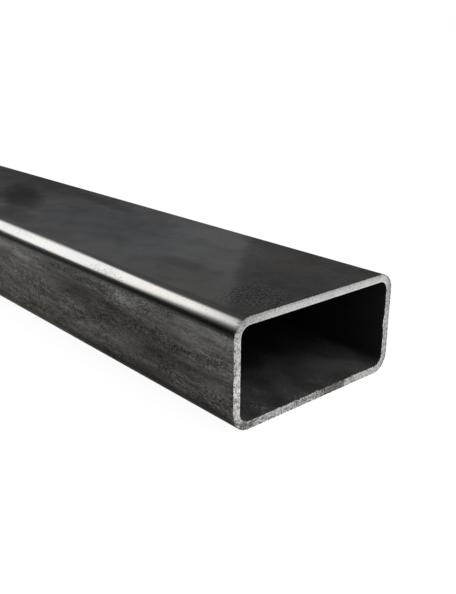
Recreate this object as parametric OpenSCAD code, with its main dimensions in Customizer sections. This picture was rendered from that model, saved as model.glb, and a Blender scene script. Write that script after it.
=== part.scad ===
// Rectangular steel tube: one length of black, cold-formed, seam-welded hollow section.
// It lies on a wide face. X runs along the tube, Y across it and Z up.
// The origin is the middle of the underside, and both ends are sawn square.

/* [Section] */
// Outside width, across the wide faces
section_width = 80; // [50:5:120]
// Outside height, across the narrow faces
section_height = 40; // [30:5:60]
// Thickness of the wall
wall = 3; // [2:0.5:5]
// Outside radius of the rolled corners
corner_radius = 7; // [6:0.5:12]

/* [Length] */
// Length between the two sawn ends
tube_length = 1000; // [250:50:6000]

/* [Weld seam] */
// Height of the trimmed weld bead above the inside of its wall
bead_height = 0.5; // [0.2:0.1:1]
// Width of the weld bead at its foot
bead_width = 6; // [3:0.5:8]

/* [Hidden] */
$fn = 96;

// The wall keeps its thickness round the corners, so both arcs share a centre.
bore_width = section_width - 2 * wall;
bore_height = section_height - 2 * wall;
bore_radius = corner_radius - wall;

// The bead is a flat arc: its radius follows from its height and its chord.
bead_radius = (pow(bead_width / 2, 2) + pow(bead_height, 2)) / (2 * bead_height);
bead_centre = bore_width / 2 - bead_height + bead_radius;

// A rectangle with quarter-circle corners, centred on its middle.
module rounded_rectangle(width, height, radius) {
    square([width - 2 * radius, height], center = true);
    square([width, height - 2 * radius], center = true);
    for (side = [-1, 1], level = [-1, 1])
        translate([side * (width / 2 - radius), level * (height / 2 - radius)])
            circle(r = radius);
}

// The hollow inside: the bore, less the weld bead along the middle of one narrow wall.
module bore_outline() {
    difference() {
        rounded_rectangle(bore_width, bore_height, bore_radius);
        translate([bead_centre, 0])
            circle(r = bead_radius);
    }
}

module section_outline() {
    difference() {
        rounded_rectangle(section_width, section_height, corner_radius);
        bore_outline();
    }
}

// The section run along X, lying on its lower wide face.
module tube() {
    color([0.22, 0.23, 0.23])
        translate([-tube_length / 2, 0, section_height / 2])
            rotate([90, 0, 90])
                linear_extrude(height = tube_length)
                    section_outline();
}

tube();
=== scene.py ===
# %% [markdown]
# # A length of rectangular steel tube
# This lesson dresses one length of black steel tube, 80 x 40 mm with a 3 mm wall, that lies on a
# pale floor. The real one starts as a flat strip with a blue-black skin of oxide from the hot mill.
# Rolls fold it into a box, the two edges are welded together, and a saw cuts it to length.
# Each of those steps leaves its mark, and this script makes them one after the other.
# The construction model comes first. It is the frame that everything else is fitted to.

from math import cos, pi, radians, sin, tan

import bmesh
import bpy
from mathutils import Matrix, Vector


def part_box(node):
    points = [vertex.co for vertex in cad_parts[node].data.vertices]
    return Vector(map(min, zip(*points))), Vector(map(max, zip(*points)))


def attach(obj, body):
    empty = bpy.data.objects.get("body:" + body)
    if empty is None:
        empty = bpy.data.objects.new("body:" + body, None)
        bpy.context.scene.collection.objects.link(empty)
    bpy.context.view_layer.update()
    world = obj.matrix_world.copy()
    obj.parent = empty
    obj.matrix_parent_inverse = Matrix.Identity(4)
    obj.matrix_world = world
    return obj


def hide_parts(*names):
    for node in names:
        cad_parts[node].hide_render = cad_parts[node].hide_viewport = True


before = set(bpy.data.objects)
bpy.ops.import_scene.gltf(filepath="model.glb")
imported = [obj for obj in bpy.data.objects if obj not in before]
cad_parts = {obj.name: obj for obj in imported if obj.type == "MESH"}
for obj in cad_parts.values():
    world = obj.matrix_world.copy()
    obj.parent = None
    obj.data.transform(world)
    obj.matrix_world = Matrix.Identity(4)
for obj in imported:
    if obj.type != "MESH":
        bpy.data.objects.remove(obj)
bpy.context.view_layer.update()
MM = 0.001
low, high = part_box("tube")
tube_length = high.x - low.x
section_width = high.y - low.y
section_height = high.z - low.z
print("tube of the construction model in mm:", [round(side / MM, 2) for side in (high - low)])

# %% [markdown]
# ## The camera
# The camera was found by turning the picture round: the outline of the sawn end and the two long
# edges were measured in it, and a camera was moved until the 80 x 40 mm section fell on them.
# It stands close to the near end, 12 cm above the floor, and looks down on it by 19 degrees.
# A close camera makes the far part of the tube shrink quickly, and a longer lens couldn't copy that.

# %% Stand the camera at the near end
CAMERA_PLACE = Vector((0.65569, -0.18152, 0.12139))
CAMERA_YAW = radians(138.2516)
CAMERA_PITCH = radians(19.2858)
CAMERA_ROLL = radians(0.4902)
CAMERA_LENS = 44.645
SENSOR_SIDE = 36.0
CLIP_START, CLIP_END = 10 * MM, 100.0

level_reach = cos(CAMERA_PITCH)
forward = Vector((level_reach * cos(CAMERA_YAW), level_reach * sin(CAMERA_YAW), -sin(CAMERA_PITCH)))
level_right = forward.cross(Vector((0, 0, 1))).normalized()
level_up = level_right.cross(forward)
camera_right = level_right * cos(CAMERA_ROLL) + level_up * sin(CAMERA_ROLL)
camera_up = level_up * cos(CAMERA_ROLL) - level_right * sin(CAMERA_ROLL)

camera_data = bpy.data.cameras.new("camera")
camera_data.lens = CAMERA_LENS
camera_data.sensor_width = SENSOR_SIDE
camera_data.clip_start = CLIP_START
camera_data.clip_end = CLIP_END
camera = bpy.data.objects.new("camera", camera_data)
camera.rotation_mode = "QUATERNION"
camera.rotation_quaternion = Matrix((camera_right, camera_up, -forward)).transposed().to_quaternion()
camera.location = CAMERA_PLACE
bpy.context.scene.collection.objects.link(camera)
bpy.context.scene.camera = camera
bpy.context.scene.view_settings.view_transform = "Standard"
print("camera to the near end in mm:", round((CAMERA_PLACE - Vector((high.x, 0, high.z / 2))).length / MM))

# %% [markdown]
# ## A shorthand for nodes
# Materials and Geometry Nodes are both trees of nodes. Two small classes let the rest of this
# lesson write them as plain expressions. A Tree adds a node from its type, its settings and the
# values of its sockets. A Field stands for one output, and arithmetic on it adds Math nodes, so
# that 1 - mask does what it says.

# %% A field is one output of a node
class Field:
    """One output of a node. Arithmetic on it adds Math nodes to the same tree."""

    def __init__(self, tree, node, socket):
        self.tree = tree
        self.node = node
        self.socket = socket

    def __getitem__(self, name):
        """Another output of the same node, by its identifier."""
        return Field(self.tree, self.node, next(out for out in self.node.outputs if out.identifier == name))

    def math(self, operation, first, second=0.0):
        """A Math node on two numbers. Some operations need only the first."""
        return self.tree.node("ShaderNodeMath", {"operation": operation}, Value=first, Value_001=second)

    def __add__(self, other):
        return self.math("ADD", self, other)

    def __sub__(self, other):
        return self.math("SUBTRACT", self, other)

    def __rsub__(self, other):
        return self.math("SUBTRACT", other, self)

    def __mul__(self, other):
        return self.math("MULTIPLY", self, other)

    def __truediv__(self, other):
        return self.math("DIVIDE", self, other)

    def __pow__(self, other):
        return self.math("POWER", self, other)

    def __abs__(self):
        return self.math("ABSOLUTE", self)

    def __gt__(self, other):
        return self.math("GREATER_THAN", self, other)

    def __lt__(self, other):
        return self.math("LESS_THAN", self, other)

    __radd__ = __add__
    __rmul__ = __mul__


print("a Field answers to:", [name for name, value in vars(Field).items() if callable(value)])

# %% A tree grows one node at a time
class Tree:
    """A node tree that is written one node at a time."""

    def __init__(self, node_tree):
        self.node_tree = node_tree

    def node(self, kind, settings=None, **sockets):
        """Adds a node: its settings first, then its sockets by identifier, or by name with _ for space."""
        made = self.node_tree.nodes.new(kind)
        for name, value in (settings or {}).items():
            setattr(made, name, value)
        for name, value in sockets.items():
            found = [socket for socket in made.inputs if socket.identifier == name]
            found = found or [socket for socket in made.inputs if socket.name == name.replace("_", " ")]
            socket = found[0]
            if isinstance(value, Field):
                self.node_tree.links.new(value.socket, socket)
            elif socket.type == "RGBA":
                socket.default_value = (*value, 1.0)
            else:
                socket.default_value = value
        outputs = [output for output in made.outputs if output.enabled]
        return Field(self, made, outputs[0]) if outputs else made

    def smooth(self, value, start, end):
        """0 up to start, 1 from end on, with a soft slope between them."""
        return self.node("ShaderNodeMapRange", {"interpolation_type": "SMOOTHSTEP"},
                         Value=value, From_Min=start, From_Max=end)

    def blend(self, first, second, share):
        """The first colour, or by this share the second."""
        return self.node("ShaderNodeMix", {"data_type": "RGBA"},
                         Factor_Float=share, A_Color=first, B_Color=second)["Result_Color"]

    def noise(self, place, size, stretch=(1, 1, 1), seed=0, detail=2, rough=0.5):
        """Cloudy noise from 0 to 1 whose spots are about size across, times stretch along each axis."""
        squeezed = self.node("ShaderNodeVectorMath", {"operation": "DIVIDE"},
                             Vector=place, Vector_001=stretch)
        return self.node("ShaderNodeTexNoise", {"noise_dimensions": "4D"}, Vector=squeezed, W=seed,
                         Scale=1 / size, Detail=detail, Roughness=rough)

    def larger(self, first, second):
        """The larger one of two numbers."""
        return self.node("ShaderNodeMath", {"operation": "MAXIMUM"}, Value=first, Value_001=second)

    def sign(self, value):
        """-1 below zero and 1 above it."""
        return self.node("ShaderNodeMath", {"operation": "SIGN"}, Value=value)

    def scaled(self, vector, factor):
        """A vector or colour times a number."""
        return self.node("ShaderNodeVectorMath", {"operation": "SCALE"}, Vector=vector, Scale=factor)

    def part_of(self, vector, axis):
        """One of the three numbers of a vector, by its letter."""
        return self.node("ShaderNodeSeparateXYZ", Vector=vector)[axis]


print("a Tree can add:", [name for name in vars(Tree) if not name.startswith("_")])

# %% [markdown]
# ## The studio
# The object stands on a white sweep: floor and air are both white, so the horizon can't be seen.
# That white is made with Light Path: a ray from the camera, or one that metal reflects, finds a
# strength of 1, which is white, while the light that falls on the tube stays at a plain level.
# A share of the floor is left as real paint, which takes the soft shadow of the tube, and a glow of
# a little over 1 makes up for the paint. Far from the tube, where no shadow falls, that share runs
# out, so the floor meets the air without a line.
# Beside the foot of the tube, the metal mirrors the paint alone, so the lower corner shows the dark
# gap there.

# %% Light the air
AMBIENT_LIGHT = 0.5


def seen_directly(tree):
    """1 for rays from the camera and for rays that metal or glass sends on, 0 for soft light."""
    path = tree.node("ShaderNodeLightPath")
    seen = path["Is Camera Ray"] + path["Is Glossy Ray"] + path["Is Transmission Ray"]
    return tree.node("ShaderNodeClamp", Value=seen)


world = bpy.data.worlds.new("white_air")
bpy.context.scene.world = world
world.use_nodes = True
world.node_tree.nodes.clear()
air = Tree(world.node_tree)
air_strength = AMBIENT_LIGHT + (1 - AMBIENT_LIGHT) * seen_directly(air)
white_air = air.node("ShaderNodeBackground", Color=(1, 1, 1), Strength=air_strength)
air.node("ShaderNodeOutputWorld", Surface=white_air)
print("air:", len(air.node_tree.nodes), "nodes, 1 where it is seen and", AMBIENT_LIGHT, "as soft light")

# %% Mix the paint of the floor
FLOOR_PAINT = (0.86, 0.86, 0.86)
FLOOR_GLOW_SHARE = 0.9
FLOOR_GLOW = 1.05
SHADOW_REACH = 0.9
GAP_REACH = 55 * MM


def new_material(name):
    """An empty material and the Tree that fills it."""
    material = bpy.data.materials.new(name)
    material.use_nodes = True
    material.node_tree.nodes.clear()
    return material, Tree(material.node_tree)


paint, floor_tree = new_material("floor_paint")
floor_place = floor_tree.node("ShaderNodeTexCoord")["Object"]
from_object = floor_tree.node("ShaderNodeVectorMath", {"operation": "LENGTH"}, Vector=floor_place)["Value"]
far_floor = floor_tree.smooth(from_object, SHADOW_REACH, 2 * SHADOW_REACH)
from_foot = floor_tree.larger(abs(floor_tree.part_of(floor_place, "X")) - tube_length / 2,
                              abs(floor_tree.part_of(floor_place, "Y")) - section_width / 2)
mirrored_ray = floor_tree.node("ShaderNodeLightPath")["Is Glossy Ray"]
in_the_gap = (1 - floor_tree.smooth(from_foot, 0.0, GAP_REACH)) * mirrored_ray
glow_share = FLOOR_GLOW_SHARE + (1 - FLOOR_GLOW_SHARE) * far_floor
glow_share = glow_share * seen_directly(floor_tree) * (1 - in_the_gap)
painted = floor_tree.node("ShaderNodeBsdfDiffuse", Color=FLOOR_PAINT)
glowing = floor_tree.node("ShaderNodeEmission", Color=(1, 1, 1), Strength=FLOOR_GLOW)
white_floor = floor_tree.node("ShaderNodeMixShader", Fac=glow_share, Shader=painted, Shader_001=glowing)
floor_tree.node("ShaderNodeOutputMaterial", Surface=white_floor)
print("floor paint:", len(floor_tree.node_tree.nodes), "nodes")

# %% Lay the floor
FLOOR_SIDE = 16.0
FLOOR_DROP = 0.05 * MM
ALONG, ACROSS, UP = Vector((1, 0, 0)), Vector((0, 1, 0)), Vector((0, 0, 1))


def flat_card(name, width, height, place, across, up, material):
    """A rectangle of the studio: its middle, and the directions of its width and height."""
    corners = [place + across * width * right / 2 + up * height * above / 2
               for right, above in ((-1, -1), (1, -1), (1, 1), (-1, 1))]
    mesh = bpy.data.meshes.new(name)
    mesh.from_pydata(corners, [], [(0, 1, 2, 3)])
    mesh.materials.append(material)
    card = bpy.data.objects.new(name, mesh)
    bpy.context.scene.collection.objects.link(card)
    return card


flat_card("floor", FLOOR_SIDE, FLOOR_SIDE, -FLOOR_DROP * UP, ALONG, ACROSS, paint)
print("floor side in metres:", FLOOR_SIDE)

# %% [markdown]
# ## What the dark metal mirrors
# Dark metal shows little but what it mirrors. The white band along the rolled corner of the real
# tube is the mirror image of one large lit cloth beyond its far end. Lamps all round could light
# the corner too, but their image would be a thin line. The band has soft edges, so the cloth gets
# thinner towards its rim.
# The black line below the band is the image of something dark that stands at that side.
# Photographers use black cards for that, and this scene has one upright and one lying flat.
# Two pale cards beyond the tube fade to black towards the floor. The farther a point of the top
# face is, the lower it looks into them, and that keeps the far part of the face dark.
# A softbox above and in front of the near end lights the mouth of the bore.
# Only mirrored rays find cards and cloth, so they can't get in the way of any view.

# %% How cloth and cards stand
NEAR_END = Vector((high.x, 0, high.z))


def direction(azimuth, elevation):
    """A direction from the near end, in degrees: azimuth 0 is +X and 90 is +Y."""
    turn, rise = radians(azimuth), radians(elevation)
    return Vector((cos(rise) * cos(turn), cos(rise) * sin(turn), sin(rise)))


def only_mirrored(card):
    """Hides a card from everything except the rays that metal sends on."""
    card.visible_camera = False
    card.visible_diffuse = False
    card.visible_shadow = False


def stand_upright(name, azimuth, low_edge, high_edge, half_angle, distance, material):
    """An upright rectangle that faces the near end. Its edges are given as angles seen from there."""
    bottom, top = (NEAR_END.z + distance * tan(radians(edge)) for edge in (low_edge, high_edge))
    place = NEAR_END + direction(azimuth, 0) * distance
    place.z = (bottom + top) / 2
    width = 2 * distance * tan(radians(half_angle))
    only_mirrored(flat_card(name, width, top - bottom, place, direction(azimuth + 90, 0), UP, material))
    print(name, "is", round(width, 2), "m wide and", round(top - bottom, 2), "m high")


def place_on_card(tree, azimuth):
    """How far to the left, seen from the near end, and how far above it a point of a card lies."""
    place = tree.node("ShaderNodeTexCoord")["Object"]
    leftwards = direction(azimuth + 90, 0)
    offset = tree.node("ShaderNodeVectorMath", {"operation": "DOT_PRODUCT"},
                       Vector=place, Vector_001=leftwards)["Value"] - NEAR_END.dot(leftwards)
    return offset, tree.part_of(place, "Z") - NEAR_END.z


print("cloth and cards face the point", [round(v, 2) for v in NEAR_END])

# %% Hang the cloth
CLOTH_WHITE = (1.0, 0.985, 0.955)


def hang_cloth(name, azimuth, low_edge, high_edge, half_angle, distance, rim, foot_slant, colour, radiance):
    """A glowing cloth. Over its soft rim it gets thin and the air shows. Its foot is cut aslant."""
    material, tree = new_material(name + "_weave")
    offset, height = place_on_card(tree, azimuth)
    to_side = distance * tan(radians(half_angle)) - abs(offset)
    to_foot = height - distance * tan(radians(low_edge)) - foot_slant * offset
    to_top = distance * tan(radians(high_edge)) - height
    share = tree.smooth(to_side, 0.0, rim) * tree.smooth(to_foot, 0.0, rim / 2)
    share = share * tree.smooth(to_top, 0.0, 2 * rim)
    weave = tree.node("ShaderNodeMixShader", Fac=share, Shader=tree.node("ShaderNodeBsdfTransparent"),
                      Shader_001=tree.node("ShaderNodeEmission", Color=colour, Strength=radiance))
    tree.node("ShaderNodeOutputMaterial", Surface=weave)
    stand_upright(name, azimuth, low_edge, high_edge, half_angle, distance, material)


hang_cloth("corner_cloth", azimuth=192.5, low_edge=5.2, high_edge=50.7, half_angle=24.6, distance=2.5,
           rim=0.42, foot_slant=0.62, colour=CLOTH_WHITE, radiance=3)

# %% Hang the softbox
def hang_softbox(name, azimuth, elevation, distance, width, height, radiance):
    """A rectangular area lamp that looks at the near end. Radiance 1 is as bright as white paper."""
    lamp_data = bpy.data.lights.new(name, "AREA")
    lamp_data.shape = "RECTANGLE"
    lamp_data.size = width
    lamp_data.size_y = height
    lamp_data.energy = radiance * width * height * pi
    lamp = bpy.data.objects.new(name, lamp_data)
    lamp.location = NEAR_END + direction(azimuth, elevation) * distance
    lamp.rotation_mode = "QUATERNION"
    lamp.rotation_quaternion = direction(azimuth, elevation).to_track_quat("Z", "Y")
    lamp.visible_camera = False
    bpy.context.scene.collection.objects.link(lamp)
    print(name, "at", [round(v, 2) for v in lamp.location], "power", round(lamp_data.energy))


hang_softbox("front_softbox", azimuth=20, elevation=55, distance=2.6, width=1.5, height=1.5, radiance=7)

# %% Stand the upright cards
def stand_card(name, azimuth, low_edge, high_edge, half_angle, distance, tones, fade):
    """A card. Its tone runs from its right edge to its left one, and fades to black downwards
    between the two angles of fade."""
    material, tree = new_material(name + "_felt")
    offset, height = place_on_card(tree, azimuth)
    fade_start, fade_end = (distance * tan(radians(angle)) for angle in fade)
    half_width = distance * tan(radians(half_angle))
    glow = tones[0] + (tones[1] - tones[0]) * tree.smooth(offset, -half_width, half_width)
    glow = glow * tree.smooth(height, fade_start, fade_end)
    felt = tree.node("ShaderNodeEmission", Color=tree.scaled((1, 1, 1), glow), Strength=1.0)
    tree.node("ShaderNodeOutputMaterial", Surface=felt)
    stand_upright(name, azimuth, low_edge, high_edge, half_angle, distance, material)


stand_card("dark_card", azimuth=121, low_edge=2.5, high_edge=44, half_angle=17, distance=2.2,
           tones=(0.85, 0.85), fade=(2, 16))
stand_card("grey_card", azimuth=149, low_edge=2.5, high_edge=44, half_angle=13, distance=2.1,
           tones=(1.00, 1.00), fade=(5, 18))
stand_card("black_card", azimuth=222, low_edge=-2.2, high_edge=15.5, half_angle=28, distance=1.0,
           tones=(0.30, 0.0), fade=(-2.2, -2.1))

# %% Lay the black paper beside the tube
PAPER_TONE = 0.10
PAPER_LENGTH, PAPER_WIDTH = 0.40, 0.70
PAPER_PLACE = Vector((NEAR_END.x - 0.10, -0.54, 0.5 * MM))

paper_felt, paper_tree = new_material("paper_felt")
black_felt = paper_tree.node("ShaderNodeEmission", Color=(1, 1, 1), Strength=PAPER_TONE)
paper_tree.node("ShaderNodeOutputMaterial", Surface=black_felt)
only_mirrored(flat_card("black_paper", PAPER_LENGTH, PAPER_WIDTH, PAPER_PLACE, ALONG, ACROSS, paper_felt))
print("black_paper is", PAPER_LENGTH, "m long and", PAPER_WIDTH, "m wide")

# %% [markdown]
# ## The skin from the hot mill
# The skin is iron oxide, a dark and slightly glossy crust a few hundredths of a millimetre thick.
# Wide faces, narrow sides, corners and weld each have their own look. They could be four materials,
# but then hard lines would show where they meet. So it is one material, and masks tell from a
# point's place on the section how much of each look it gets.
# Everything reads Object coordinates, so the pattern runs through corners without a seam.

# %% Where on the section a point lies
mill_scale, skin = new_material("mill_scale")
place = skin.node("ShaderNodeTexCoord")["Object"]
along, across, level = (skin.part_of(place, axis) for axis in "XYZ")
off_middle = abs(level - section_height / 2)
from_cut = tube_length / 2 - abs(along)
from_near_end = tube_length / 2 - along

RUB_START, RUB_END = 6.6 * MM, 5.2 * MM
CORNER_START, CORNER_END = 6.6 * MM, 4.6 * MM
narrow_side = 1 - skin.smooth(off_middle, section_height / 2 - RUB_START, section_height / 2 - RUB_END)
rubbed_skin = 1 - skin.smooth(level, section_height - RUB_START, section_height - RUB_END)
corner = skin.smooth(abs(across), section_width / 2 - CORNER_START, section_width / 2 - CORNER_END)
corner = corner * (1 - narrow_side)
print("masks of the section:", len(skin.node_tree.nodes), "nodes")

# %% [markdown]
# ## The burnished corners
# The rolls burnish the four corners. A band along the middle of each one has lost most of its
# oxide and mirrors about four times as much as the flats, so it shines white where it mirrors the
# lit cloth. The band is narrower near the ends. Between it and the wide face runs a thin painted
# dark line, a painted reflection that darkens the skin there.
# The band could be a strip on the mesh. Here the angle round the corner tells where it lies, so its
# edges can be soft, and all four corners come from one set of nodes.

# %% Where round the corner a point lies
CORNER_RADIUS = 7 * MM
BAND_START_AT_CUT, BAND_START_INSIDE = radians(26), radians(11)
BAND_END_AT_CUT, BAND_END_INSIDE = radians(50), radians(55)

arc_rise = off_middle - (section_height / 2 - CORNER_RADIUS)
arc_reach = abs(across) - (section_width / 2 - CORNER_RADIUS)
turn = skin.node("ShaderNodeMath", {"operation": "ARCTAN2"}, Value=arc_reach, Value_001=arc_rise)
band_start = BAND_START_AT_CUT + (BAND_START_INSIDE - BAND_START_AT_CUT) * skin.smooth(
    from_cut, 35 * MM, 125 * MM)
band_end = BAND_END_AT_CUT + (BAND_END_INSIDE - BAND_END_AT_CUT) * skin.smooth(from_cut, 5 * MM, 60 * MM)
burnished = skin.smooth(turn - band_start, 0.0, radians(8))
burnished = burnished * (1 - skin.smooth(turn - band_end, 0.0, radians(13)))
burnished = burnished * (1 + 0.17 * skin.smooth(from_cut, 50 * MM, 150 * MM))
# Painted reflection: a thin darker line on the corner, between the burnished band and the wide face.
painted_dark_edge_line = skin.smooth(turn, radians(1), radians(8))
painted_dark_edge_line = painted_dark_edge_line * (1 - skin.smooth(turn - band_start, -radians(3), radians(3)))
print("with the corners:", len(skin.node_tree.nodes), "nodes")

# %% [markdown]
# ## The wide faces
# They are smooth, with soft clouds of blue and brown grey. The oil of the saw has left a darker,
# grainy stain near each end, with a slanting edge, and a paler spot with pits lies in the stain at
# the near end.
# Seen at a low angle, even black metal mirrors strongly, whatever its colour. So only the tints of
# the wide faces are painted. Their dark marks mix the shiny skin with a matt one. A mark that
# stands alone is an oval with a ragged edge at its place, and the rest is noise.

# %% Two kinds of marks
def oval_mark(distance, across_place, half_length, half_width, slant=0.0):
    """A ragged oval on the wide faces: 1 in its middle and 0 outside it. With slant, its long axis
    moves across the face by that much for each unit away from the near end."""
    ragged = skin.noise(place, half_width / 2, stretch=(1.3, 1, 1), seed=distance * 97, detail=2) - 0.5
    along_offset = from_near_end - distance
    reach = (along_offset / half_length) ** 2
    reach = reach + ((across - across_place - slant * along_offset) / half_width) ** 2
    return 1 - skin.smooth(reach + 0.8 * ragged, 0.1, 1.3)


def spots(size, stretch, seed, detail, rough, start, end):
    """Noise in the skin that is 0 below start and 1 above end."""
    return skin.smooth(skin.noise(place, size, stretch, seed, detail, rough), start, end)


clouds = spots(size=30 * MM, stretch=(1.3, 1, 1), seed=2, detail=2, rough=0.4, start=0.30, end=0.70)
tint_clouds = spots(size=50 * MM, stretch=(1.3, 1, 1), seed=5, detail=1, rough=0.5, start=0.35, end=0.65)
smears = spots(size=11 * MM, stretch=(1.3, 1, 1), seed=21, detail=2, rough=0.45, start=0.40, end=0.66)
smudges = spots(size=8 * MM, stretch=(1.3, 1, 1), seed=23, detail=2, rough=0.50, start=0.48, end=0.68)
fine_grain = spots(size=0.7 * MM, stretch=(1.2, 1, 1), seed=3, detail=2, rough=0.6, start=0.30, end=0.70)
stain_pits = spots(size=0.8 * MM, stretch=(1.3, 1, 1), seed=61, detail=1, rough=0.5, start=0.44, end=0.56)
print("with the noise of the wide faces:", len(skin.node_tree.nodes), "nodes")

# %% Marks that stand alone
blue_cloud = oval_mark(distance=125 * MM, across_place=2 * MM, half_length=62 * MM, half_width=24 * MM)
dark_cloud = oval_mark(distance=214 * MM, across_place=-2 * MM, half_length=38 * MM, half_width=13 * MM,
                       slant=0.4)
# Painted reflection: the far part of the top face, from about 190 mm beyond the near end, is painted
# duller. This adds to the darker reflection that it finds in the cards.
far_painted_shade = oval_mark(distance=275 * MM, across_place=10 * MM, half_length=85 * MM, half_width=50 * MM)
edge_cloud = oval_mark(distance=215 * MM, across_place=32 * MM, half_length=60 * MM, half_width=20 * MM)
far_streak = oval_mark(distance=174 * MM, across_place=24 * MM, half_length=38 * MM, half_width=5 * MM,
                       slant=0.08)
# Painted reflection: a duller patch on the top face beside the corner, about 180 mm from the near end,
# which stands in for the dark reflection beside the band there.
painted_dark_edge_patch = oval_mark(distance=180 * MM, across_place=-26 * MM, half_length=26 * MM, half_width=9 * MM)
dark_smudge = oval_mark(distance=60 * MM, across_place=-14 * MM, half_length=13 * MM, half_width=6 * MM)
pale_cloud = oval_mark(distance=77 * MM, across_place=9 * MM, half_length=42 * MM, half_width=26 * MM)
brown_cloud = oval_mark(distance=36 * MM, across_place=20 * MM, half_length=22 * MM, half_width=10 * MM)
pitted_spot = oval_mark(distance=12 * MM, across_place=-19 * MM, half_length=15 * MM, half_width=13 * MM)
oil_creep = skin.noise(place, 10 * MM, seed=43, detail=3) * 10 * MM
oil_stain = 1 - skin.smooth(from_cut - 0.9 * across + oil_creep, 42 * MM, 50 * MM)
print("with the marks that stand alone:", len(skin.node_tree.nodes), "nodes")

# %% Colour and shine of the wide faces
BLUE_GREY, BROWN_GREY = (0.0715, 0.0735, 0.0755), (0.0765, 0.0755, 0.0735)
BLUE_OXIDE, BROWN_OXIDE = (0.0665, 0.0730, 0.0790), (0.0830, 0.0770, 0.0700)
MATT_BLACK, MATT_BLUE, MATT_BROWN = (0.004, 0.004, 0.004), (0.003, 0.006, 0.011), (0.009, 0.007, 0.004)

wide_colour = skin.blend(BLUE_GREY, BROWN_GREY, tint_clouds)
wide_colour = skin.blend(wide_colour, BLUE_OXIDE, blue_cloud)
wide_colour = skin.blend(wide_colour, BROWN_OXIDE, 0.7 * brown_cloud)
matt_colour = skin.blend(MATT_BLACK, MATT_BLUE, blue_cloud)
matt_colour = skin.blend(matt_colour, MATT_BROWN, brown_cloud)
wide_tone = 0.97 + 0.06 * fine_grain

shine = 0.775 + 0.13 * clouds + 0.18 * pale_cloud
for dulling, mark in ((0.13, smears), (0.14, smudges), (0.55, dark_cloud), (0.28, edge_cloud),
                      (0.26, far_painted_shade), (0.30, painted_dark_edge_patch), (0.26, far_streak), (0.28, dark_smudge),
                      (0.12, blue_cloud), (0.45 - 0.20 * fine_grain, oil_stain)):
    shine = shine * (1 - dulling * mark)
shine = shine * (1 + pitted_spot * (0.38 - 0.90 * stain_pits))
print("with the finish of the wide faces:", len(skin.node_tree.nodes), "nodes")

# %% [markdown]
# ## The narrow sides
# They rubbed along the rolls, and carry a grain that comes in patches, streaks along the tube and
# dark pits. A brighter band below the upper corners, with darker skin towards the foot, is painted
# sheen: it stands in for a reflection that is brighter near the top of each side. The underside, on
# which the tube slid in the rack, looks like them. They are seen less aslant, so their marks are
# simply painted in the colour. Several sizes of noise lie over each other, because one size alone
# looks like a print.

# %% Mill scale on the narrow sides
SIDE_GREY, SIDE_OLIVE = (0.0812, 0.0768, 0.0720), (0.0830, 0.0790, 0.0672)
PAINTED_SHEEN_GREY = (0.0770, 0.0768, 0.0750)

patches = spots(size=15 * MM, stretch=(3.5, 1, 1), seed=31, detail=3, rough=0.50, start=0.36, end=0.64)
streaks = spots(size=1.8 * MM, stretch=(12, 1, 1), seed=9, detail=4, rough=0.60, start=0.35, end=0.65)
mottle = spots(size=3.2 * MM, stretch=(4, 1, 1), seed=17, detail=5, rough=0.65, start=0.38, end=0.62)
grain = spots(size=0.6 * MM, stretch=(2.2, 1, 1), seed=13, detail=2, rough=0.60, start=0.30, end=0.70)
grainy = spots(size=9 * MM, stretch=(3, 1, 1), seed=37, detail=3, rough=0.55, start=0.40, end=0.60)
olive = spots(size=35 * MM, stretch=(2, 1, 1), seed=33, detail=1, rough=0.50, start=0.40, end=0.65)
band_edge = (skin.noise(place, 14 * MM, stretch=(3, 1, 1), seed=35, detail=3) - 0.5) * 6 * MM
# Painted sheen: the upper part of each side is painted brighter and greyer, and the lower part darker. Near
# each cut the skin below the band is brighter and the band darker.
painted_sheen_band = skin.smooth(level + band_edge, section_height - 15 * MM, section_height - 7.5 * MM)
handled = 1 - skin.smooth(from_cut, 95 * MM, 150 * MM)
end_part = 1 - skin.smooth(from_cut, 4 * MM, 24 * MM)
end_stretch = 1 - skin.smooth(from_cut, 30 * MM, 90 * MM)

side_colour = skin.blend(SIDE_GREY, SIDE_OLIVE, olive * (1 - 0.6 * end_stretch))
side_colour = skin.blend(side_colour, PAINTED_SHEEN_GREY, 0.8 * painted_sheen_band)
side_tone = (0.58 + 0.72 * patches) * (0.78 + 0.40 * streaks) * (0.81 + 0.32 * mottle)
side_tone = side_tone * (1 + (grain - 0.5) * (0.45 + 0.95 * grainy))
side_tone = side_tone * (0.93 + 0.76 * painted_sheen_band) * (1.20 - 0.11 * handled)
side_tone = side_tone * (1 + end_part * (0.24 - 0.40 * painted_sheen_band))
# Painted reflection: a thin band on each upper corner, just above the narrow side, where the metal mirrors
# the black card. It takes the colour of the sides, and near the ends a darker tone.
painted_dark_line = skin.smooth(level, section_height - 6.8 * MM, section_height - 5.8 * MM)
painted_dark_line = painted_dark_line * (1 - skin.smooth(level, section_height - 3.4 * MM, section_height - 2.6 * MM))
print("with the narrow sides:", len(skin.node_tree.nodes), "nodes")

# %% [markdown]
# ## The planed weld
# Down the middle of one narrow side runs the weld. A knife has planed it off to bright steel, and
# the straw and blue colours of its heat lie on both sides of it. The distance from the middle of
# the seam tells them all, and a little noise in that distance lets the seam wander.

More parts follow.
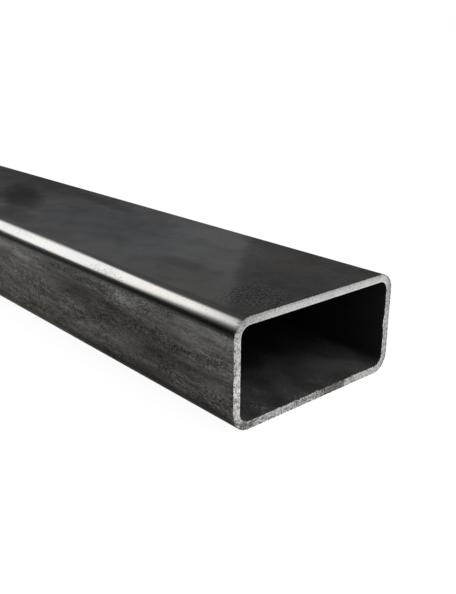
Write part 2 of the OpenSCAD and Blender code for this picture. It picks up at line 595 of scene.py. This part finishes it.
# %% The planed weld and its heat colours
seam_side = skin.smooth(across, section_width / 2 - 0.4 * MM, section_width / 2 - 0.2 * MM)
seam_wander = (skin.noise(place, 4 * MM, stretch=(6, 1, 1), seed=51, detail=3) - 0.5) * 2 * MM
from_seam = abs(level - section_height / 2 + seam_wander)
knife_lines = skin.noise(place, 0.35 * MM, stretch=(60, 1, 1), seed=53, detail=3, rough=0.6)
knife_chatter = skin.noise(place, 2 * MM, stretch=(0.5, 1, 1), seed=55, detail=3)
planed = 1 - skin.smooth(from_seam + (knife_lines + knife_chatter - 1) * MM, 2.0 * MM, 2.8 * MM)
planed = planed * seam_side
planed_tone = (0.35 + 1.0 * knife_lines) * (0.75 + 0.5 * knife_chatter)
straw = (1 - skin.smooth(from_seam, 3.0 * MM, 6.5 * MM)) * seam_side
blued = (1 - skin.smooth(from_seam, 5.0 * MM, 10.0 * MM)) * seam_side
print("with the weld:", len(skin.node_tree.nodes), "nodes")

# %% The colour of the whole skin
HEAT_BLUE, HEAT_STRAW, PLANED_STEEL = (0.058, 0.064, 0.082), (0.150, 0.118, 0.078), (0.180, 0.176, 0.170)
BAND_GAIN = 3
PAINTED_EDGE_SHADE_DEPTH = 0.32
PIT_DEPTH = 0.7

pit_noise = skin.noise(place, 0.5 * MM, stretch=(1.6, 1, 1), seed=14, detail=1, rough=0.5)
pit_field = skin.noise(place, 5 * MM, stretch=(4, 1, 1), seed=15, detail=3)
pits = skin.smooth(pit_noise + 0.9 * (pit_field - 0.5), 0.58, 0.72) * (narrow_side + 0.4 * corner)

face_colour = skin.blend(wide_colour, side_colour, skin.larger(rubbed_skin, 0.7 * painted_dark_line))
face_colour = skin.blend(face_colour, HEAT_BLUE, 0.7 * blued)
face_colour = skin.blend(face_colour, HEAT_STRAW, 0.6 * straw)
face_colour = skin.blend(face_colour, PLANED_STEEL, planed)
face_tone = (wide_tone + (side_tone - wide_tone) * rubbed_skin) * (1 - PIT_DEPTH * pits)
# Painted shade: the mirrored dark line is darkened within about 90 mm of each cut, and the corner, with its
# highlight, is dimmed within about 24 mm of each cut.
face_tone = face_tone * (1 - 0.30 * painted_dark_line * end_stretch) * (1 - 0.20 * end_part * corner)
# The painted dark line between band and wide face takes away up to a third of the tone.
face_tone = face_tone * (1 + BAND_GAIN * burnished) * (1 - PAINTED_EDGE_SHADE_DEPTH * painted_dark_edge_line)
face_tone = face_tone + (planed_tone - face_tone) * planed
shaded = skin.scaled(face_colour, face_tone)
print("with pits and colour:", len(skin.node_tree.nodes), "nodes")

# %% Gloss, relief and the two skins
SCALE_ROUGHNESS = 0.24
# A tint below 1 holds back the shine that metal takes on at low angles.
LOW_ANGLE_TINT = (0.6, 0.6, 0.6)

gloss = SCALE_ROUGHNESS + 0.03 * clouds + 0.05 * oil_stain - (0.05 + 0.03 * handled) * corner
gloss = gloss + narrow_side * (0.10 + 0.08 * grain + 0.15 * pits) - planed * 0.06
relief = fine_grain * (0.10 + 0.20 * oil_stain) + narrow_side * (grain * 0.8 + mottle * 0.5 - pits * 1.5)
relief = relief + knife_lines * planed
skin_normal = skin.node("ShaderNodeBump", Strength=0.3, Distance=0.05 * MM, Height=relief)
shiny_skin = skin.node("ShaderNodeBsdfPrincipled", Base_Color=shaded, Metallic=1.0, Roughness=gloss,
                       Normal=skin_normal, Specular_Tint=LOW_ANGLE_TINT)
matt_skin = skin.node("ShaderNodeBsdfPrincipled", Base_Color=matt_colour, Metallic=0.0, Roughness=1.0,
                      Specular_IOR_Level=0.0)
matt_share = (1 - shine) * (1 - rubbed_skin) * (1 - corner)
both_skins = skin.node("ShaderNodeMixShader", Fac=matt_share, Shader=shiny_skin, Shader_001=matt_skin)
skin.node("ShaderNodeOutputMaterial", Surface=both_skins)
print("mill scale:", len(skin.node_tree.nodes), "nodes")

# %% [markdown]
# ## Bare steel where the saw went
# The saw leaves bright bare steel with the fine grain of its teeth. It mirrors the white floor.
# The upper strip of the cut is smoother than the others, which are speckled, and its outer rim is
# darker. On the lower strip of the near end, a patch has begun to rust. It is dark towards one
# side, where it ends all at once, and fades away towards the other. Beside it, and at the far end,
# the rust is faint.
# The cut could have a tiny relief all over, but dents that small are seen as light and dark specks.
# So they are painted, and a little bump follows the paint and the lines of the teeth.

# %% Where on the cut a point lies
WALL = 3 * MM

sawn_steel, cut = new_material("sawn_steel")
cut_place = cut.node("ShaderNodeTexCoord")["Object"]
cut_along, cut_across, cut_level = (cut.part_of(cut_place, axis) for axis in "XYZ")
past_arc = [cut.larger(offset - (side / 2 - CORNER_RADIUS), 0.0) for offset, side in (
    (abs(cut_across), section_width), (abs(cut_level - section_height / 2), section_height))]
in_wall = CORNER_RADIUS - (past_arc[0] ** 2 + past_arc[1] ** 2) ** 0.5
outer_rim = 1 - cut.smooth(in_wall, 0.2 * MM, 1.4 * MM)
# Painted highlight: the inner rim of the cut is painted brighter. It stands in for the glint of a tiny
# bevel there.
painted_inner_rim_highlight = cut.smooth(in_wall, 2.2 * MM, 2.8 * MM)
upper_strip = cut.smooth(cut_level, section_height - 7 * MM, section_height - 4 * MM)
lower_strip = 1 - cut.smooth(cut_level, 3.0 * MM, 4.5 * MM)
far_strip = cut_across > section_width / 2 - WALL
upper_half = cut.smooth(cut_level, 10 * MM, 20 * MM)
near_strip = cut_across < WALL - section_width / 2
near_strip_foot = near_strip * (1 - cut.smooth(cut_level, 14 * MM, 24 * MM))
# Painted shade, mixed with real crumbs: the lower outer corner of the cut gets more and darker crumbs,
# which darken it as shade would.
foot_corner_shade = 1 - cut.smooth(cut_level, 7 * MM, 12 * MM)
foot_corner_shade = foot_corner_shade * (1 - cut.smooth(cut_across, -32 * MM, -26 * MM))
top_corner = cut.smooth(cut_level, 31 * MM, 36 * MM) * (1 - cut.smooth(cut_across, -33 * MM, -25 * MM))
print("masks of the cut:", len(cut.node_tree.nodes), "nodes")

# %% Grain, crumbs and rust
RUST_PLACE = 9.5 * MM
FAINT_RUST_PLACE = -5 * MM

tooth_lines = cut.noise(cut_place, 0.5 * MM, stretch=(1, 4, 0.8), seed=4, detail=2)
specks = cut.smooth(cut.noise(cut_place, 0.55 * MM, seed=8, detail=2, rough=0.6), 0.36, 0.56)
crumbs_and_corner_shade = cut.noise(cut_place, 1.3 * MM, stretch=(1, 1.5, 1), seed=12, detail=3) + 0.09 * foot_corner_shade
crumbs_and_corner_shade = cut.smooth(crumbs_and_corner_shade, 0.54, 0.62)
cut_patches = cut.noise(cut_place, 6 * MM, stretch=(1, 1.6, 1), seed=11, detail=2)
cut_patches = cut.smooth(cut_patches, 0.3, 0.6)

rust_edge = (cut_patches - 0.5) * 2 * MM
rust_reach = cut_across - RUST_PLACE + rust_edge
rust = (1 - cut.smooth(rust_reach, 6.0 * MM, 6.8 * MM)) * cut.smooth(rust_reach, -11 * MM, -2 * MM)
rust = rust * (cut_along > 0.0)
faint_rust = 1 - cut.smooth(abs(cut_across - FAINT_RUST_PLACE) + rust_edge, 7 * MM, 10 * MM)
faint_rust = faint_rust * (0.35 + 0.65 * cut.smooth(in_wall, 0.3 * MM, 2.0 * MM))
rust = rust * (1.15 - 0.38 * specks) + (0.85 - 0.70 * specks) * faint_rust
rust = cut.node("ShaderNodeClamp", Value=rust * lower_strip)
print("with grain and rust:", len(cut.node_tree.nodes), "nodes")

# %% Sawn steel
BARE_STEEL, RUSTY_STEEL = (0.580, 0.577, 0.567), (0.135, 0.112, 0.102)
SPECK_DEPTH = 0.70
CUT_ROUGHNESS = 0.5

speckled = (1 - 0.66 * upper_strip) * (0.85 + 0.55 * outer_rim)
brightness = 1 - SPECK_DEPTH * (1 - specks) * speckled
# Crumbs darken the cut, more so in the lower outer corner, where the darkening is painted shade.
brightness = brightness * (1 - crumbs_and_corner_shade * (0.26 * speckled + 0.15 * lower_strip + 0.25 * foot_corner_shade))
brightness = brightness * (1 - top_corner * (0.12 + 0.35 * crumbs_and_corner_shade + 0.25 * (1 - specks)))
brightness = brightness * (1 - 0.14 * (1 - cut_patches) * speckled) * (1.04 - 0.09 * upper_strip)
brightness = brightness * (1 + 0.08 * upper_strip * cut_across / (section_width / 2))
brightness = brightness * (1 - (0.22 * outer_rim + 0.07 * (1 - cut_patches)) * upper_strip)
# The inner rim of the cut gets its painted highlight here.
brightness = brightness * (1 + 0.24 * near_strip_foot) * (1 + 0.18 * painted_inner_rim_highlight)
brightness = brightness * (1 - (0.08 + 0.15 * upper_half + 0.15 * outer_rim) * far_strip)
steel = cut.blend(BARE_STEEL, RUSTY_STEEL, rust)
cut_normal = cut.node("ShaderNodeBump", Strength=0.4, Distance=0.05 * MM,
                      Height=tooth_lines * (1 - 0.7 * upper_strip) + specks * speckled)
sawn = cut.node("ShaderNodeBsdfPrincipled", Base_Color=cut.scaled(steel, brightness), Metallic=1.0,
                Roughness=CUT_ROUGHNESS - 0.15 * specks, Normal=cut_normal)
cut.node("ShaderNodeOutputMaterial", Surface=sawn)
print("sawn steel:", len(cut.node_tree.nodes), "nodes")

# %% [markdown]
# ## The dull inside
# The inside never met the rolls. Its walls are painted a dull near-black, which is painted shade
# for the dark bore. The floor of the bore is painted a lighter grey, partly as a little dust and
# partly as painted light, with some brighter crumbs in it, which the light from outside finds.
# The dust could be a layer of its own, but it has no thickness to show, so it is paint on the scale.

# %% Bore scale and its dust
# Painted shade: the walls of the bore are near-black. The grey of its floor is partly dust and partly
# painted light.
BORE_SHADE_BLACK, DUST_AND_LIGHT_GREY, CRUMB_GREY = (0.005, 0.005, 0.005), (0.034, 0.0337, 0.033), (0.085, 0.084, 0.083)
DULL_ROUGHNESS = 0.5

bore_scale, dull = new_material("bore_scale")
bore_place = dull.node("ShaderNodeTexCoord")["Object"]
bore_level = dull.part_of(bore_place, "Z")
dust = dull.noise(bore_place, 10 * MM, stretch=(2, 1, 1), seed=6, detail=4, rough=0.6)
# Painted light and dust: the floor of the bore is lighter than its painted near-black walls.
bore_floor = 1 - dull.smooth(bore_level, 3.3 * MM, 5.5 * MM)
dust_and_light = bore_floor * (0.35 + 0.65 * dull.smooth(dust, 0.35, 0.65))
crumb_field = dull.noise(bore_place, 9 * MM, stretch=(1.5, 1, 1), seed=18, detail=3) - 0.5
bright_crumbs = dull.noise(bore_place, 0.8 * MM, seed=16, detail=3, rough=0.7) + 0.6 * crumb_field
bright_crumbs = dull.smooth(bright_crumbs, 0.60, 0.71) * bore_floor
bore_colour = dull.blend(BORE_SHADE_BLACK, DUST_AND_LIGHT_GREY, dust_and_light)
bore_colour = dull.blend(bore_colour, CRUMB_GREY, bright_crumbs)
bore_normal = dull.node("ShaderNodeBump", Strength=0.3, Distance=0.1 * MM,
                        Height=dull.noise(bore_place, 1.5 * MM, seed=7, detail=3) + bright_crumbs)
dull_scale = dull.node("ShaderNodeBsdfPrincipled", Base_Color=bore_colour, Metallic=0.0,
                       Roughness=DULL_ROUGHNESS + 0.2 * dust, Specular_IOR_Level=0.25, Normal=bore_normal)
dull.node("ShaderNodeOutputMaterial", Surface=dull_scale)
print("bore scale:", len(dull.node_tree.nodes), "nodes")

# %% [markdown]
# ## Sweeping the wall round the section
# The tube could be an extruded outline, as in the construction model. Here it is made the other
# way round, because the marks of the saw need many points near the ends and few in between.
# The wall, cut open along the tube, is a thin rectangle 1 m long and 3 mm wide. Geometry Nodes
# carry that rectangle once round the rounded outline of the section, and the two ends of the trip
# meet, so the skin is closed: outside, sawn face, inside and second sawn face are one surface.

# %% The sizes of the sweep
wall_tree = bpy.data.node_groups.new("wall_round_the_section", "GeometryNodeTree")
wall_tree.interface.new_socket("Geometry", in_out="OUTPUT", socket_type="NodeSocketGeometry")
sweep_sizes = {
    "Section Width": section_width,
    "Section Height": section_height,
    "Tube Length": tube_length,
    "Wall": WALL,
    "Corner Radius": CORNER_RADIUS,
    "Point Spacing": 0.3 * MM,
    "Bead Height": 0.5 * MM,
    "Bead Width": 6 * MM,
    "Scarf Depth": 0.08 * MM,
    "Torn Depth": 0.36 * MM,
    "Burr Height": 0.4 * MM,
    "Tooth Ridge": 0.05 * MM,
    "Seed": 3.0,
}
sweep_inputs = {
    name: wall_tree.interface.new_socket(name, in_out="INPUT", socket_type="NodeSocketFloat").identifier
    for name in sweep_sizes
}
wall = Tree(wall_tree)
given = wall.node("NodeGroupInput")
size = {name: given[identifier] for name, identifier in sweep_inputs.items()}
print("the sweep has", len(size), "named inputs")

# %% The outline of the section and the way outwards
CORNER_STEPS = 32

box_outline = wall.node("GeometryNodeCurvePrimitiveQuadrilateral",
                        Width=size["Section Width"], Height=size["Section Height"])
rolled_outline = wall.node("GeometryNodeFilletCurve", {"mode": "POLY"}, Curve=box_outline,
                           Count=CORNER_STEPS, Radius=size["Corner Radius"], Limit_Radius=True)
outline = wall.node("GeometryNodeResampleCurve", {"mode": "LENGTH"}, Curve=rolled_outline,
                    Length=size["Point Spacing"])
outline = wall.node("GeometryNodeSetCurveNormal", {"mode": "Z_UP"}, Curve=outline)
outward = wall.node("ShaderNodeVectorMath", {"operation": "CROSS_PRODUCT"},
                    Vector=wall.node("GeometryNodeInputTangent"), Vector_001=(0, 0, 1))
outline = wall.node("GeometryNodeStoreNamedAttribute", {"data_type": "FLOAT_VECTOR", "domain": "POINT"},
                    Geometry=outline, Name="outward", Value=outward)
print("outline:", len(wall_tree.nodes), "nodes")

# %% The wall, cut open
CUTS_ALONG = 25
END_CROWDING = 4

half_length = size["Tube Length"] / 2
wall_cut_open = wall.node("GeometryNodeCurvePrimitiveQuadrilateral",
                          Width=size["Wall"], Height=size["Tube Length"])
wall_cut_open = wall.node("GeometryNodeSubdivideCurve", Curve=wall_cut_open, Cuts=CUTS_ALONG)
slice_place = wall.node("GeometryNodeInputPosition")
slice_depth, slice_along = (wall.part_of(slice_place, axis) for axis in "XY")
# The points along the tube crowd towards its ends by a power of their distance from them.
crowded = 1 - (1 - abs(slice_along) / half_length) ** END_CROWDING
crowded_place = wall.node("ShaderNodeCombineXYZ", X=slice_depth - size["Wall"] / 2,
                          Y=wall.sign(slice_along) * half_length * crowded)
wall_cut_open = wall.node("GeometryNodeSetPosition", Geometry=wall_cut_open, Position=crowded_place)
wall_depth = 0 - wall.part_of(wall.node("GeometryNodeInputPosition"), "X") / size["Wall"]
wall_cut_open = wall.node("GeometryNodeStoreNamedAttribute", {"data_type": "FLOAT", "domain": "POINT"},
                          Geometry=wall_cut_open, Name="wall_depth", Value=wall_depth)
shell = wall.node("GeometryNodeCurveToMesh", Curve=outline, Profile_Curve=wall_cut_open)
print("with the sweep:", len(wall_tree.nodes), "nodes")

# %% [markdown]
# ## The marks of weld and saw
# The weld stands as a low bead along the inside of one narrow wall, and on the outside a knife has
# planed it a hair below the side around it. The saw leaves faint ridges on the cut and tears its
# edges. The inner edges of the upper and the near wall stayed nearly clean, and the lower one has
# got a burr.
# All of it could be bump in the finish, but the outline of the mouth shows the torn edges, so the
# points themselves are moved.

# %% The weld bead
position = wall.node("GeometryNodeInputPosition")
across_at, up_at, along_at = (wall.part_of(position, axis) for axis in "XYZ")
depth = wall.node("GeometryNodeInputNamedAttribute", {"data_type": "FLOAT"}, Name="wall_depth")["Attribute"]
outward = wall.node("GeometryNodeInputNamedAttribute", {"data_type": "FLOAT_VECTOR"},
                    Name="outward")["Attribute"]
weld_side = across_at > 0.0

bead_radius = ((size["Bead Width"] / 2) ** 2 + size["Bead Height"] ** 2) / (2 * size["Bead Height"])
bead = wall.larger(bead_radius ** 2 - up_at ** 2, 0.0) ** 0.5 - (bead_radius - size["Bead Height"])
bead_ripple = 0.8 + 0.4 * wall.noise(position, 3 * MM, stretch=(1, 1, 2), seed=size["Seed"] + 1)
scarf = size["Scarf Depth"] * (1 - wall.smooth(abs(up_at), 2.6 * MM, 3.4 * MM))
weld_shift = 0 - weld_side * (wall.larger(bead, 0.0) * bead_ripple * depth + scarf * (1 - depth))
print("with the weld:", len(wall_tree.nodes), "nodes")

# %% Torn edges, burr and ridges
TEAR_FADE = 0.25 * MM
TEAR_LEFT_CLEAN = 0.15
TEAR_SHARPNESS, BURR_SHARPNESS = 6, 8
CUT_PLANE = 0.01 * MM

to_end = half_length - abs(along_at)
edge_share = abs(2 * depth - 1) ** TEAR_SHARPNESS
near_cut = wall.node("ShaderNodeMath", {"operation": "EXPONENT"}, Value=to_end * (-1 / TEAR_FADE))
tear = wall.smooth(wall.noise(position, 0.8 * MM, seed=size["Seed"] + 2, detail=2, rough=0.6), 0.40, 0.72)
clean_wall = wall.larger(wall.smooth(up_at, 8 * MM, 14 * MM), wall.smooth(0 - across_at, 30 * MM, 35 * MM))
torn = (2 * depth - 1) * edge_share * near_cut * tear * size["Torn Depth"]
torn = torn * (1 - (1 - TEAR_LEFT_CLEAN) * clean_wall * depth)
burr_patches = wall.smooth(wall.noise(position, 1.8 * MM, seed=size["Seed"] + 3, detail=2), 0.52, 0.68)
lower_wall = wall.smooth(0 - up_at, 10 * MM, 14 * MM)
burr = burr_patches * lower_wall * near_cut * depth ** BURR_SHARPNESS * size["Burr Height"]
ridge = wall.noise(position, 0.9 * MM, stretch=(4, 1, 1), seed=size["Seed"] + 4) - 0.5
ridge = ridge * size["Tooth Ridge"] * (to_end < CUT_PLANE) * wall.sign(along_at)
along_shift = wall.node("ShaderNodeCombineXYZ", X=weld_shift, Z=ridge)
marks = wall.node("ShaderNodeVectorMath", Vector=wall.scaled(outward, torn - burr), Vector_001=along_shift)
shell = wall.node("GeometryNodeSetPosition", Geometry=shell, Offset=marks)
print("with the marks of the saw:", len(wall_tree.nodes), "nodes")

# %% Turning it into place and giving each surface its finish
QUARTER_TURN = radians(90)
SHARP_FOLD = radians(42)
JUST_INSIDE = 0.001

shell = wall.node("GeometryNodeTransform", Geometry=shell, Rotation=(QUARTER_TURN, 0, QUARTER_TURN),
                  Translation=wall.node("ShaderNodeCombineXYZ", Z=size["Section Height"] / 2))
fold = wall.node("GeometryNodeInputMeshEdgeAngle")["Unsigned Angle"]
shell = wall.node("GeometryNodeSetShadeSmooth", {"domain": "FACE"}, Geometry=shell, Shade_Smooth=True)
shell = wall.node("GeometryNodeSetShadeSmooth", {"domain": "EDGE"}, Geometry=shell,
                  Selection=fold > SHARP_FOLD, Shade_Smooth=False)
shell = wall.node("GeometryNodeRemoveAttribute", Geometry=shell, Name="outward")
shell = wall.node("GeometryNodeRealizeInstances", Geometry=shell)
shell = wall.node("GeometryNodeSetMaterial", Geometry=shell, Material=mill_scale)
shell = wall.node("GeometryNodeSetMaterial", Geometry=shell, Material=sawn_steel,
                  Selection=depth > JUST_INSIDE)
shell = wall.node("GeometryNodeSetMaterial", Geometry=shell, Material=bore_scale,
                  Selection=depth > 1 - JUST_INSIDE)
wall.node("NodeGroupOutput", Geometry=shell)
print("sweep tree:", len(wall_tree.nodes), "nodes")

# %% [markdown]
# ## From tree to mesh
# A modifier runs the tree. Its inputs are set by the identifier of each socket, before the object
# is evaluated for the first time. The evaluated object is then turned into a plain mesh, because
# the part is kept as plain meshes, and the modifier goes.
# Two measurements are printed: how many edges lack a face on one of their sides, and the volume.
# The volume is that of the construction model less what knife and saw took away.

# %% Make the tube
steel_tube = bpy.data.objects.new("steel_tube", bpy.data.meshes.new("steel_tube"))
bpy.context.scene.collection.objects.link(steel_tube)
sweeper = steel_tube.modifiers.new("wall_round_the_section", "NODES")
sweeper.node_group = wall_tree
for name, value in sweep_sizes.items():
    sweeper[sweep_inputs[name]] = value
view_layer_graph = bpy.context.evaluated_depsgraph_get()
tube_mesh = bpy.data.meshes.new_from_object(
    steel_tube.evaluated_get(view_layer_graph), preserve_all_data_layers=True, depsgraph=view_layer_graph)
steel_tube.modifiers.remove(sweeper)
steel_tube.data = tube_mesh

measured = bmesh.new()
measured.from_mesh(tube_mesh)
open_edges = sum(len(edge.link_faces) != 2 for edge in measured.edges)
tube_volume = measured.calc_volume(signed=True)
measured.free()
print("steel_tube:", len(tube_mesh.polygons), "faces,", open_edges, "open edges, volume in mm3:",
      round(tube_volume / MM ** 3), "materials:", [material.name for material in tube_mesh.materials])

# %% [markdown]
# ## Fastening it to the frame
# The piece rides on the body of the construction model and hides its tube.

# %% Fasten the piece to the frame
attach(steel_tube, "root")
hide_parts("tube")
